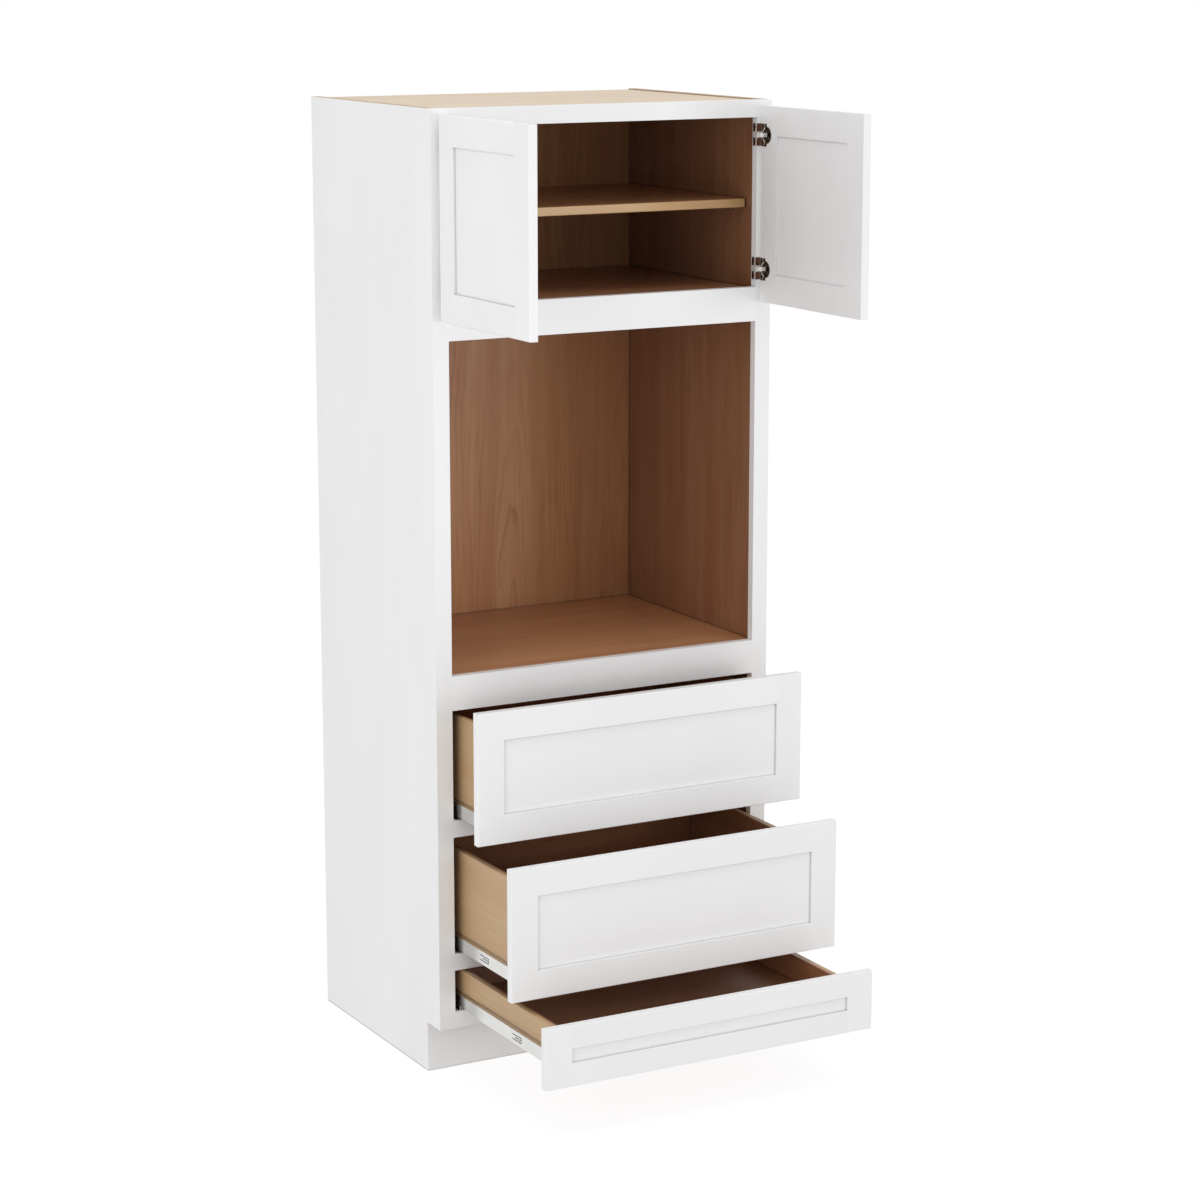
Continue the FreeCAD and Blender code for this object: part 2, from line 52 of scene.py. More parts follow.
FACING = 0.9  # least share of a face's normal along the axis that it faces
SMOOTH_ANGLE = math.radians(35.0)
WHITE = (1.0, 1.0, 1.0, 1.0)

Socket = bpy.types.NodeSocket
Tree = bpy.types.NodeTree
MADE: dict[str, bpy.types.Material] = {}  # the materials made so far, by the names of their finishes


def srgb(code: str) -> tuple[float, float, float, float]:
    """Turns an sRGB hex value into a linear colour.

    Args:
        code: Six hex digits, with or without a leading hash.

    Returns:
        Linear red, green, blue and an alpha of one.
    """
    digits = code.lstrip("#")
    channels = [int(digits[i:i + 2], 16) / 255 for i in (0, 2, 4)]
    linear = [c / 12.92 if c <= 0.04045 else ((c + 0.055) / 1.055) ** 2.4 for c in channels]
    return (linear[0], linear[1], linear[2], 1.0)


def add(tree: Tree, kind: str, inputs: dict[Any, Any] | None = None, **settings: Any) -> bpy.types.Node:
    """Adds a shader node with its settings, values and links.

    Args:
        tree: Node tree that takes the node.
        kind: Blender's name of the node type.
        inputs: Input name or number to a value, or to the output socket to link.
        **settings: Properties of the node itself.

    Returns:
        The new node.
    """
    node = tree.nodes.new(kind)
    for name, value in settings.items():
        setattr(node, name, value)
    for name, value in (inputs or {}).items():
        if isinstance(value, Socket):
            tree.links.new(value, node.inputs[name])
        else:
            node.inputs[name].default_value = value
    return node


def calculate(tree: Tree, operation: str, *values: Any, clamp: bool = False) -> Socket:
    """Adds a math node.

    Args:
        tree: Node tree that takes the node.
        operation: Blender's name of the operation.
        *values: Numbers or sockets, in the node's order.
        clamp: Whether the result is kept between 0 and 1.

    Returns:
        The result.
    """
    inputs = dict(enumerate(values))
    return add(tree, "ShaderNodeMath", inputs, operation=operation, use_clamp=clamp).outputs[0]


class Grain(Enum):
    """Direction of the grain on a board: which object axis it follows, and the two across it."""

    UP = ("Z", "X", "Y")
    ACROSS = ("X", "Y", "Z")
    DEEP = ("Y", "X", "Z")


@dataclass(frozen=True)
class BoardSpace:
    """Places on a board in millimetres: along its grain, across it, as a vector, and on the three axes."""

    along: Socket
    across: Socket
    vector: Socket
    x: Socket
    y: Socket
    z: Socket

    @classmethod
    def build(cls, tree: Tree, grain: Grain) -> "BoardSpace":
        """Builds the places from object coordinates.

        Args:
            tree: Node tree of the material.
            grain: Direction of the grain.

        Returns:
            The sockets. Across is the sum of the two other axes, so that it runs on over every face of a board.
        """
        coords = add(tree, "ShaderNodeTexCoord").outputs["Object"]
        scaled = add(tree, "ShaderNodeVectorMath", {0: coords, "Scale": M_TO_MM}, operation="SCALE").outputs[0]
        parts = add(tree, "ShaderNodeSeparateXYZ", {0: scaled}).outputs
        axis, first, second = (parts[name] for name in grain.value)
        across = calculate(tree, "ADD", first, second)
        through = calculate(tree, "SUBTRACT", first, second)
        vector = add(tree, "ShaderNodeCombineXYZ", {0: axis, 1: across, 2: through}).outputs[0]
        return cls(axis, across, vector, parts["X"], parts["Y"], parts["Z"])


@dataclass(frozen=True)
class Layers:
    """What a finish gives the shader: colour, roughness and height, and metal where it varies."""

    color: Socket
    roughness: Socket
    height: Socket
    metallic: Socket | None = None


def streaks(tree: Tree, space: BoardSpace, along_mm: float, across_mm: float, detail: float = 2.0) -> Socket:
    """Noise drawn out along the grain.

    Args:
        tree: Node tree of the material.
        space: Places on the board.
        along_mm: Length of a streak.
        across_mm: Width of a streak.
        detail: Octaves of the noise.

    Returns:
        The noise, from 0 to 1.
    """
    size = (1 / along_mm, 1 / across_mm, 1 / across_mm)
    place = add(tree, "ShaderNodeVectorMath", {0: space.vector, 1: size}, operation="MULTIPLY").outputs[0]
    return add(tree, "ShaderNodeTexNoise", {"Vector": place, "Scale": 1.0, "Detail": detail}).outputs["Fac"]


def ranged(tree: Tree, value: Socket, low: float, high: float, start: float = 0.3, end: float = 0.7) -> Socket:
    """Spreads the middle of a noise over a range.

    Args:
        tree: Node tree of the material.
        value: Noise from 0 to 1.
        low: Result at the start of the middle.
        high: Result at its end.
        start: Noise value that gives low.
        end: Noise value that gives high.

    Returns:
        The value, kept between low and high.
    """
    limits = {"Value": value, "From Min": start, "From Max": end, "To Min": low, "To Max": high}
    return add(tree, "ShaderNodeMapRange", limits).outputs["Result"]


def blended(tree: Tree, factor: Socket, first: Any, second: Any) -> Socket:
    """Mixes two colours.

    Args:
        tree: Node tree of the material.
        factor: Share of the second colour.
        first: Colour or socket at 0.
        second: Colour or socket at 1.

    Returns:
        The mixed colour.
    """
    mix = add(tree, "ShaderNodeMix", {0: factor, 6: first, 7: second}, data_type="RGBA")
    return mix.outputs[2]


def chosen(tree: Tree, mask: Socket, under: Layers, over: Layers, metallic: Socket | None = None) -> Layers:
    """Chooses between two finishes by a mask.

    Args:
        tree: Node tree of the material.
        mask: 0 where the first finish shows, and 1 where the second does.
        under: First finish.
        over: Second finish.
        metallic: Metal, where it varies.

    Returns:
        The layers of both, chosen place by place.
    """
    roughness = add(tree, "ShaderNodeMix", {0: mask, 2: under.roughness, 3: over.roughness}).outputs[0]
    height = add(tree, "ShaderNodeMix", {0: mask, 2: under.height, 3: over.height}).outputs[0]
    return Layers(blended(tree, mask, under.color, over.color), roughness, height, metallic)


class Finish:
    """A surface finish that becomes one material."""

    name: str
    metallic: float = 0.0
    specular: float = 0.5
    coat: float = 0.0
    coat_roughness: float = 0.2
    relief_mm: float = 0.05
    relief_strength: float = 0.3
    # share of painted shade in inner corners, drawn from ambient occlusion
    painted_corner_shade: float = 0.0
    painted_corner_shade_mm: float = 5.0

    def layers(self, tree: Tree) -> Layers:
        """Builds the colour, roughness and height of the finish.

        Args:
            tree: Node tree of the material.

        Returns:
            The sockets that the shader reads.
        """
        raise NotImplementedError

    def material(self) -> bpy.types.Material:
        """Makes the material, or returns it if it is there.

        Returns:
            The material, named for the finish.
        """
        if self.name in MADE:
            return MADE[self.name]
        made = MADE[self.name] = bpy.data.materials.new(self.name)
        made.use_nodes = True
        tree = made.node_tree
        tree.nodes.clear()
        look = self.layers(tree)
        bump_inputs = {"Height": look.height, "Distance": self.relief_mm * MM, "Strength": self.relief_strength}
        bump = add(tree, "ShaderNodeBump", bump_inputs)
        shader = add(tree, "ShaderNodeBsdfPrincipled", {
            "Base Color": self.painted_corner_shading(tree, look.color) if self.painted_corner_shade else look.color,
            "Roughness": look.roughness,
            "Normal": bump.outputs["Normal"],
            "Metallic": look.metallic or self.metallic,
            "Specular IOR Level": self.specular,
            "Coat Weight": self.coat,
            "Coat Roughness": self.coat_roughness,
        })
        add(tree, "ShaderNodeOutputMaterial", {"Surface": shader.outputs["BSDF"]})
        return made

    def painted_corner_shading(self, tree: Tree, color: Socket) -> Socket:
        """Paints shade into the finish in inner corners, where less light reaches.

        Args:
            tree: Node tree of the material.
            color: Colour of the open surface.

        Returns:
            The colour, darker within a few millimetres of another surface.
        """
        reach = {"Distance": self.painted_corner_shade_mm * MM}
        # painted shade: ambient occlusion darkens the colour near other surfaces
        clear = add(tree, "ShaderNodeAmbientOcclusion", reach, samples=CORNER_SHADE_SAMPLES).outputs["AO"]
        kept = ranged(tree, clear, 1.0 - self.painted_corner_shade / 2, 1.0, 0.5, 1.0)
        mix = add(tree, "ShaderNodeMix", {0: 1.0, 6: color, 7: kept}, data_type="RGBA", blend_type="MULTIPLY")
        return mix.outputs[2]


@dataclass(frozen=True)
class SatinPaint(Finish):
    """White lacquer, sprayed on maple and board: even, with a faint grain and orange peel under satin."""

    name: str
    grain: Grain
    white: str = "#F1F1F1"
    shade: str = "#ECECEC"
    cloud_size_mm: tuple[float, float] = (520.0, 260.0)
    cloud_share: float = 0.7
    fibre_size_mm: tuple[float, float] = (90.0, 3.0)
    fibre_share: float = 0.3
    peel_mm: float = 4.0
    gloss: tuple[float, float] = (0.34, 0.44)
    relief_mm: float = 0.06
    relief_strength: float = 0.22
    # painted shade in the inner corners, such as round each door and drawer panel
    painted_corner_shade: float = 0.55

    def layers(self, tree: Tree) -> Layers:
        """Builds the sprayed paint.

        Args:
            tree: Node tree of the material.

        Returns:
            Colour with a slow drift, satin roughness and a low relief. The real grain is about 1 mm wide,
            and is drawn 3 mm wide so that it shows.
        """
        space = BoardSpace.build(tree, self.grain)
        cloud = streaks(tree, space, *self.cloud_size_mm)
        fibre = streaks(tree, space, *self.fibre_size_mm)
        peel = streaks(tree, space, self.peel_mm, self.peel_mm, detail=1.0)
        drift = ranged(tree, cloud, 0.0, self.cloud_share)
        tone = calculate(tree, "ADD", drift, ranged(tree, fibre, 0.0, self.fibre_share))
        color = blended(tree, tone, srgb(self.white), srgb(self.shade))
        return Layers(color, ranged(tree, peel, *self.gloss), calculate(tree, "ADD", peel, fibre))


@dataclass(frozen=True)
class MapleVeneer(Finish):
    """Flat cut maple under a clear coat: soft bands of tan and rose, arched rings, fine fibres, a few streaks.

    Where it is asked for, a painted shade darkens the tone towards one side.
    """

    name: str
    grain: Grain
    light: str = "#B28463"
    mid: str = "#A27250"
    rose: str = "#A66E50"
    dark: str = "#744C31"
    leaf_mm: float = 300.0
    leaf_shift_mm: float = 0.0
    stray: float = 0.22
    ring_mm: float = 15.0
    ring_range: tuple[float, float] = (0.45, 0.92)
    ring_power: float = 2.0
    slope: float = 0.085
    sway_mm: float = 24.0
    sway_size_mm: tuple[float, float] = (300.0, 55.0)
    jitter: float = 0.45
    jitter_size_mm: tuple[float, float] = (260.0, 24.0)
    patch_size_mm: tuple[float, float] = (330.0, 90.0)
    patch_range: tuple[float, float] = (0.38, 0.66)
    figure: float = 0.42
    fibre_size_mm: tuple[float, float] = (130.0, 2.0)
    fibre_range: tuple[float, float] = (0.03, 0.17)
    band_size_mm: tuple[float, float] = (682.0, 62.0)
    flush_size_mm: tuple[float, float] = (434.0, 37.2)
    flush_share: float = 0.55
    flush_range: tuple[float, float] = (0.45, 0.7)
    streak_size_mm: tuple[float, float] = (104.0, 8.0)
    streak_share: float = 0.3
    streak_range: tuple[float, float] = (0.64, 0.8)
    centre_mm: tuple[float, float] = (300.0, 2000.0)
    # share of painted shade towards one side, where the light falls off
    painted_side_shade: float = 0.0
    painted_side_shade_mm: tuple[float, float] = (-250.0, 380.0)
    satin: tuple[float, float] = (0.27, 0.35)
    specular: float = 0.5
    coat: float = 0.15
    coat_roughness: float = 0.27
    relief_mm: float = 0.05
    relief_strength: float = 0.2
    painted_corner_shade: float = 1.0

    def layers(self, tree: Tree) -> Layers:
        """Builds the veneer.

        Args:
            tree: Node tree of the material.

        Returns:
            Colour, roughness and height. Maple's fibres are under 1 mm wide, and are drawn about 2 mm wide
            so that they show.
        """
        space = BoardSpace.build(tree, self.grain)
        fibre = streaks(tree, space, *self.fibre_size_mm, detail=3.0)
        band = streaks(tree, space, *self.band_size_mm)
        flush = streaks(tree, space, *self.flush_size_mm)
        tan = blended(tree, ranged(tree, band, 0.0, 1.0), srgb(self.light), srgb(self.mid))
        blush = ranged(tree, flush, 0.0, self.flush_share, *self.flush_range)
        ground = blended(tree, blush, tan, srgb(self.rose))
        # painted shade: darker towards one side, where less light reaches
        if self.painted_side_shade:
            side_shade = ranged(tree, space.across, 0.0, self.painted_side_shade, *self.painted_side_shade_mm)
            ground = blended(tree, side_shade, ground, srgb(self.dark))
        marks = calculate(tree, "MULTIPLY", self.rings(tree, space), self.figure)
        smear = streaks(tree, space, *self.streak_size_mm)
        smudge = ranged(tree, smear, 0.0, self.streak_share, *self.streak_range)
        pattern = calculate(tree, "ADD", marks, smudge)
        depth = calculate(tree, "ADD", pattern, ranged(tree, fibre, *self.fibre_range), clamp=True)
        color = blended(tree, depth, ground, srgb(self.dark))
        return Layers(color, ranged(tree, fibre, *self.satin), fibre)

    def rings(self, tree: Tree, space: BoardSpace) -> Socket:
        """Year rings as long nested arches, one set on each leaf of veneer.

        Args:
            tree: Node tree of the material.
            space: Places on the board.

        Returns:
            Darkness of the ring lines, from 0 to 1.
        """
        moved = calculate(tree, "SUBTRACT", space.across, self.leaf_shift_mm)
        index = calculate(tree, "FLOOR", calculate(tree, "DIVIDE", moved, self.leaf_mm))
        chance = add(tree, "ShaderNodeTexWhiteNoise", {"W": index}, noise_dimensions="1D").outputs["Value"]
        side = calculate(tree, "FLOORED_MODULO", moved, self.leaf_mm)
        middle = ((self.stray - 0.5) * self.leaf_mm, (-self.stray - 0.5) * self.leaf_mm)
        centred = calculate(tree, "ADD", side, ranged(tree, chance, *middle, 0.0, 1.0))
        sway = ranged(tree, streaks(tree, space, *self.sway_size_mm), -self.sway_mm, self.sway_mm, 0.0, 1.0)
        bent = calculate(tree, "ADD", centred, sway)
        first, last = self.centre_mm
        run = calculate(tree, "ADD", space.along, ranged(tree, chance, -first, -last, 0.0, 1.0))
        fall = calculate(tree, "MULTIPLY", run, self.slope)
        flat = add(tree, "ShaderNodeCombineXYZ", {0: bent, 1: fall}).outputs[0]
        radius = add(tree, "ShaderNodeVectorMath", {0: flat}, operation="LENGTH").outputs["Value"]
        noise = streaks(tree, space, *self.jitter_size_mm)
        jitter = ranged(tree, noise, -self.jitter, self.jitter, 0.0, 1.0)
        saw = calculate(tree, "FRACT", calculate(tree, "MULTIPLY_ADD", radius, 1 / self.ring_mm, jitter))
        rise = ranged(tree, saw, 0.0, 1.0, *self.ring_range)
        drop = ranged(tree, saw, 1.0, 0.0, self.ring_range[1], 1.0)
        line = calculate(tree, "POWER", calculate(tree, "MULTIPLY", rise, drop), self.ring_power)
        patch = ranged(tree, streaks(tree, space, *self.patch_size_mm), 0.0, 1.0, *self.patch_range)
        return calculate(tree, "MULTIPLY", line, patch)


@dataclass(frozen=True)
class ZincSteel(Finish):
    """Cold-rolled strip with bright zinc plate: pale grey, a soft sheen, faint roll marks along its length."""

    name: str
    pale: str = "#DEDEDC"
    grey: str = "#D6D6D4"
    roll_size_mm: tuple[float, float] = (160.0, 1.6)
    cloud_mm: float = 70.0
    gloss: tuple[float, float] = (0.19, 0.27)
    metallic: float = 1.0
    relief_mm: float = 0.02
    relief_strength: float = 0.15

    def layers(self, tree: Tree) -> Layers:
        """Builds the plated strip.

        Args:
            tree: Node tree of the material.

        Returns:
            Colour, roughness and height. Roll marks are a tenth of a millimetre wide, and are drawn wider
            to show.
        """
        space = BoardSpace.build(tree, Grain.DEEP)
        roll = streaks(tree, space, *self.roll_size_mm)
        cloud = streaks(tree, space, self.cloud_mm, self.cloud_mm)
        color = blended(tree, ranged(tree, cloud, 0.0, 1.0), srgb(self.pale), srgb(self.grey))
        return Layers(color, ranged(tree, roll, *self.gloss), roll)


@dataclass(frozen=True)
class NickelPlate(Finish):
    """Pressed steel with nickel plate: warm grey, from nearly a mirror to satin, slightly wavy from the press."""

    name: str
    bright: str = "#CFCAC2"
    worn: str = "#B4AEA6"
    gloss: tuple[float, float] = (0.10, 0.20)
    wave_mm: float = 7.0
    fine_size_mm: tuple[float, float] = (9.6, 1.2)
    metallic: float = 1.0
    relief_mm: float = 0.08
    relief_strength: float = 0.2

    def layers(self, tree: Tree) -> Layers:
        """Builds the plated pressing.

        Args:
            tree: Node tree of the material.

        Returns:
            Colour, roughness and height.
        """
        space = BoardSpace.build(tree, Grain.UP)
        wave = streaks(tree, space, self.wave_mm, self.wave_mm, detail=1.0)
        fine = streaks(tree, space, *self.fine_size_mm)
        color = blended(tree, ranged(tree, fine, 0.0, 1.0), srgb(self.bright), srgb(self.worn))
        return Layers(color, ranged(tree, fine, *self.gloss), wave)


@dataclass(frozen=True)
class HingePressing(Finish):
    """A hinge base: dark leaf on the face, brown with a painted reflection; satin plate at the bend and arms."""

    name: str
    leaf: NickelPlate
    plate: NickelPlate
    face_mm: float
    bend_mm: float
    heights_mm: tuple[float, float]
    arm_half_mm: float = 6.6
    metallic: float = 1.0
    relief_mm: float = 0.08
    relief_strength: float = 0.2

    def layers(self, tree: Tree) -> Layers:
        """Builds both platings and chooses between them by place.

        Args:
            tree: Node tree of the material.

        Returns:
            Colour, roughness, height and metal.
        """
        under = self.leaf.layers(tree)
        over = self.plate.layers(tree)
        space = BoardSpace.build(tree, Grain.UP)
        low, high = self.heights_mm
        spread = calculate(tree, "ABSOLUTE", calculate(tree, "SUBTRACT", space.z, (low + high) / 2))
        arm = calculate(tree, "COMPARE", spread, (high - low) / 2, self.arm_half_mm)
        half = self.bend_mm / 2
        bend = calculate(tree, "COMPARE", space.y, self.face_mm + half, half)
        mask = calculate(tree, "MAXIMUM", arm, bend)
        metal = add(tree, "ShaderNodeMix", {0: mask, 2: self.leaf.metallic, 3: self.plate.metallic}).outputs[0]
        return chosen(tree, mask, under, over, metal)


@dataclass(frozen=True)
class MouldedPlastic(Finish):
    """Moulded acetal: a dense, waxy surface with a fine spark-eroded grain."""

    name: str
    body: str = "#ECECE8"
    hollow: str = "#DEDED9"
    grain_mm: float = 1.1
    cloud_mm: float = 18.0
    gloss: tuple[float, float] = (0.42, 0.55)
    relief_mm: float = 0.04
    relief_strength: float = 0.35

    def layers(self, tree: Tree) -> Layers:
        """Builds the moulding.

        Args:
            tree: Node tree of the material.

        Returns:
            Colour, roughness and height.
        """
        space = BoardSpace.build(tree, Grain.UP)
        grit = streaks(tree, space, self.grain_mm, self.grain_mm)
        cloud = streaks(tree, space, self.cloud_mm, self.cloud_mm)
        color = blended(tree, ranged(tree, cloud, 0.0, 1.0), srgb(self.body), srgb(self.hollow))
        return Layers(color, ranged(tree, grit, *self.gloss), grit)


@dataclass(frozen=True)
class FacedBoard(Finish):
    """A board with one finish on chosen faces and another on the rest."""

    name: str
    ground: Finish
    face: Finish
    axis: str
    beyond_mm: float
    both_sides: bool = False
    below: bool = False
    specular: float = 0.5
    relief_mm: float = 0.05
    relief_strength: float = 0.2
    painted_corner_shade: float = 1.1

    def layers(self, tree: Tree) -> Layers:
        """Builds both finishes and chooses between them by place.

        Args:
            tree: Node tree of the material.

        Returns:
            Colour, roughness and height. The faced part lies beyond the named place on the axis, or below it.
        """
        under = self.ground.layers(tree)
        over = self.face.layers(tree)
        space = BoardSpace.build(tree, Grain.UP)
        place = {"X": space.x, "Y": space.y, "Z": space.z}[self.axis]
        if self.both_sides:
            place = calculate(tree, "ABSOLUTE", place)
        mask = calculate(tree, "LESS_THAN" if self.below else "GREATER_THAN", place, self.beyond_mm)
        return chosen(tree, mask, under, over)


@dataclass(frozen=True)
class PlyEdge(Finish):
    """Sawn edge of an upright plywood board: pale and dark plies in turn, dry and rough."""

    name: str
    inner_mm: float = 400.05
    ply_mm: float = 2.72
    pale: str = "#D3B899"
    dark: str = "#A98763"
    turn: float = 2.0
    end_share: float = 0.75
    fibre_size_mm: tuple[float, float] = (30.0, 0.9)
    fibre_share: float = 0.25
    gloss: tuple[float, float] = (0.65, 0.8)
    specular: float = 0.2
    relief_mm: float = 0.1
    relief_strength: float = 0.3

    def layers(self, tree: Tree) -> Layers:
        """Builds the plies.

        Args:
            tree: Node tree of the material.

        Returns:
            Colour, roughness and height. Every second ply shows its end grain, which is darker.
        """
        space = BoardSpace.build(tree, Grain.UP)
        depth = calculate(tree, "SUBTRACT", calculate(tree, "ABSOLUTE", space.x), self.inner_mm)
        index = calculate(tree, "FLOOR", calculate(tree, "DIVIDE", depth, self.ply_mm))
        end_grain = calculate(tree, "FLOORED_MODULO", index, self.turn)
        fibre = streaks(tree, space, *self.fibre_size_mm)
        mottle = ranged(tree, fibre, 0.0, self.fibre_share)
        shade = calculate(tree, "MULTIPLY_ADD", end_grain, self.end_share, mottle)
        color = blended(tree, shade, srgb(self.pale), srgb(self.dark))
        return Layers(color, ranged(tree, fibre, *self.gloss), fibre)


class Finishes:
    """The cabinet's finishes, each named for what it is."""

    # Between which places along the grain the rings are centred, on level boards and on deep ones.
    LEVEL_MM = (-900.0, 800.0)
    DEEP_MM = (-1100.0, 600.0)

    PAINT_UP = SatinPaint("satin_lacquer_upright", Grain.UP)
    PAINT_ACROSS = SatinPaint("satin_lacquer_level", Grain.ACROSS)
    # lighter copy of the same maple ply: painted light on the back, with painted shade to the right
    PLY_BACK_PAINTED_LIGHT = MapleVeneer("maple_ply_back_painted_light", Grain.UP, light="#EAB585", mid="#D69E6E", rose="#D6966A",
                           dark="#825638", leaf_mm=320.0, leaf_shift_mm=-88.0, stray=0.02, figure=0.36,
                           centre_mm=(764.0, 829.0), painted_side_shade=0.62, specular=0.25, coat=0.0)
    # darker copy of the same maple ply: painted shade on the inner faces of the sides
    PLY_UP_PAINTED_SHADE = MapleVeneer("maple_ply_upright_painted_shade", Grain.UP, light="#9D7458", mid="#8F6446", rose="#936145",
                         dark="#66422C")
    PLY_ACROSS = MapleVeneer("maple_ply_level", Grain.ACROSS, figure=0.2, centre_mm=LEVEL_MM)
    # lighter copy of the same maple ply: painted light on the oven deck
    PLY_OVEN_PAINTED_LIGHT = MapleVeneer("maple_ply_oven_deck_painted_light", Grain.ACROSS, light="#D5A178", mid="#C78F64", rose="#C78962",
                           dark="#8E5F41", figure=0.15, centre_mm=LEVEL_MM)
    # darker copy of the drawer maple: painted shade on the inner faces of the box sides
    PLY_DEEP_PAINTED_SHADE = MapleVeneer("maple_ply_deep_painted_shade", Grain.DEEP, light="#A17555", mid="#936444", rose="#976244",
                           dark="#6A432B", figure=0.2, centre_mm=DEEP_MM, specular=0.35, coat=0.0)
    BOX_DEEP = MapleVeneer("drawer_maple_deep", Grain.DEEP, light="#C3A580", mid="#BA9A74", rose="#BD9873",
                           dark="#96714A", figure=0.16, centre_mm=DEEP_MM, satin=(0.4, 0.5), coat=0.0)
    TOP = MapleVeneer("unfinished_top_ply", Grain.ACROSS, light="#E7D9C5", mid="#E0CEB7", rose="#E2CDB7",
                      dark="#C6B195", figure=0.25, centre_mm=LEVEL_MM, satin=(0.6, 0.75), specular=0.25, coat=0.0)
    EDGE_BAND = MapleVeneer("maple_edge_band", Grain.ACROSS, light="#C8A374", mid="#BF9869", rose="#C4996B",
                            dark="#9C744A", figure=0.15, centre_mm=LEVEL_MM, coat=0.0)
    BOX_FLOOR = MapleVeneer("drawer_maple_level", Grain.ACROSS, figure=0.2, centre_mm=LEVEL_MM,
                            specular=0.35, coat=0.05)
    RAW_BACK = MapleVeneer("unfinished_back_ply", Grain.UP, light="#D8C3A4", mid="#CFB794", rose="#D2B594",
                           dark="#A98862", figure=0.35, satin=(0.6, 0.75))
    RAW_EDGE = PlyEdge("sawn_ply_edge")
    ZINC = ZincSteel("zinc_plated_strip")
    NICKEL = NickelPlate("bright_nickel_plate")
    # nickel darkened and browned: painted shade of the deep cup, and painted reflection of the interior
    CUP_NICKEL_PAINTED_SHADE = NickelPlate("nickel_plate_painted_shade", bright="#8E8278", worn="#786C63", gloss=(0.22, 0.32))
    SATIN = NickelPlate("satin_nickel_plate", bright="#D4D1CD", worn="#C8C4C0", gloss=(0.38, 0.5),
                        metallic=0.25)
    # pale nickel, nearly not metal: a painted highlight on the cup rims
    RIM_PAINTED_HIGHLIGHT = NickelPlate("nickel_rim_painted_highlight", bright="#F0EDE8", worn="#E4E0DA", gloss=(0.3, 0.4), metallic=0.1)
    PIN = NickelPlate("satin_nickel_pin", bright="#C9C6C0", worn="#B0ACA6")
    # nickel tinted brown: a painted reflection of the cabinet's interior
    NICKEL_PAINTED_REFLECTION = NickelPlate("nickel_painted_reflection", bright="#86604C", worn="#6C4A39", gloss=(0.28, 0.38))
    PLASTIC = MouldedPlastic("white_acetal")
    # black acetal plates inside the slides: painted shade behind the latch tongues
    SHADE_PLATE = MouldedPlastic("black_acetal_painted_shade", body="#232325", hollow="#19191B")


def dress(names: Iterable[str], finish: Finish) -> None:
    """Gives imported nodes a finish.

    Args:
        names: Node names.
        finish: Finish that covers them.
    """
    made = finish.material()
    for name in names:
        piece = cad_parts[name]
        piece.data.materials.clear()
        piece.data.materials.append(made)
        LOG.info("%s: %s", name, made.name)


def choose_faces(piece: bpy.types.Object, test: Callable[[Vector, Vector], bool]) -> None:
    """Opens a piece for editing with some of its faces selected.

    Args:
        piece: Piece that is the active object.
        test: Takes a face's middle and its normal, and says whether the face is chosen.
    """
    bpy.context.tool_settings.mesh_select_mode = (False, False, True)
    bpy.ops.object.mode_set(mode="EDIT")
    bpy.ops.mesh.select_all(action="DESELECT")
    bpy.ops.object.mode_set(mode="OBJECT")
    for face in piece.data.polygons:
        face.select = test(face.center, face.normal)
    bpy.ops.object.mode_set(mode="EDIT")


def cut_away(piece: bpy.types.Object, size: Vector, middle: Vector) -> None:
    """Cuts a box out of a piece.

    Args:
        piece: Piece to cut.
        size: Lengths of the box along the axes.
        middle: Middle of the box.
    """
    bpy.ops.object.select_all(action="DESELECT")
    bpy.ops.mesh.primitive_cube_add(size=1.0, location=middle, scale=size)
    cutter = bpy.context.object
    bpy.ops.object.transform_apply(location=True, rotation=True, scale=True)
    bpy.ops.object.select_all(action="DESELECT")
    piece.select_set(True)
    bpy.context.view_layer.objects.active = piece
    cut = piece.modifiers.new("cut", "BOOLEAN")
    cut.operation = "DIFFERENCE"
    cut.object = cutter
    bpy.ops.object.modifier_apply(modifier=cut.name)
    bpy.data.objects.remove(cutter)


def lay_out(pattern: bpy.types.Object, name: str, places: Iterable[Matrix]) -> bpy.types.Object:
    """Copies a modelled piece to its places and joins the copies.

    Args:
        pattern: Piece modelled at the origin.
        name: Name of the joined piece.
        places: Where each copy goes.

    Returns:
        The joined piece, at the origin, with its places in its mesh.
    """
    bpy.ops.object.select_all(action="DESELECT")
    copies = []
    for place in places:
        mesh = pattern.data.copy()
        mesh.transform(place)
        copy = bpy.data.objects.new(name, mesh)
        bpy.context.scene.collection.objects.link(copy)
        copy.select_set(True)
        copies.append(copy)
    bpy.context.view_layer.objects.active = copies[0]
    bpy.ops.object.join()
    joined = bpy.context.object
    bpy.ops.object.mode_set(mode="EDIT")
    bpy.ops.mesh.select_all(action="SELECT")
    bpy.ops.mesh.normals_make_consistent(inside=False)
    bpy.ops.object.mode_set(mode="OBJECT")
    bpy.ops.object.shade_smooth_by_angle(angle=SMOOTH_ANGLE)
    joined.name = name
    return joined


def fit(piece: bpy.types.Object, body: str, finish: Finish) -> None:
    """Hands a new piece to its body and gives it a finish.

    Args:
        piece: New piece.
        body: Body that carries it.
        finish: Finish that covers it.
    """
    piece.data.materials.clear()
    piece.data.materials.append(finish.material())
    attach(piece, body)
    LOG.info("%s: %s on %s", piece.name, finish.name, body)


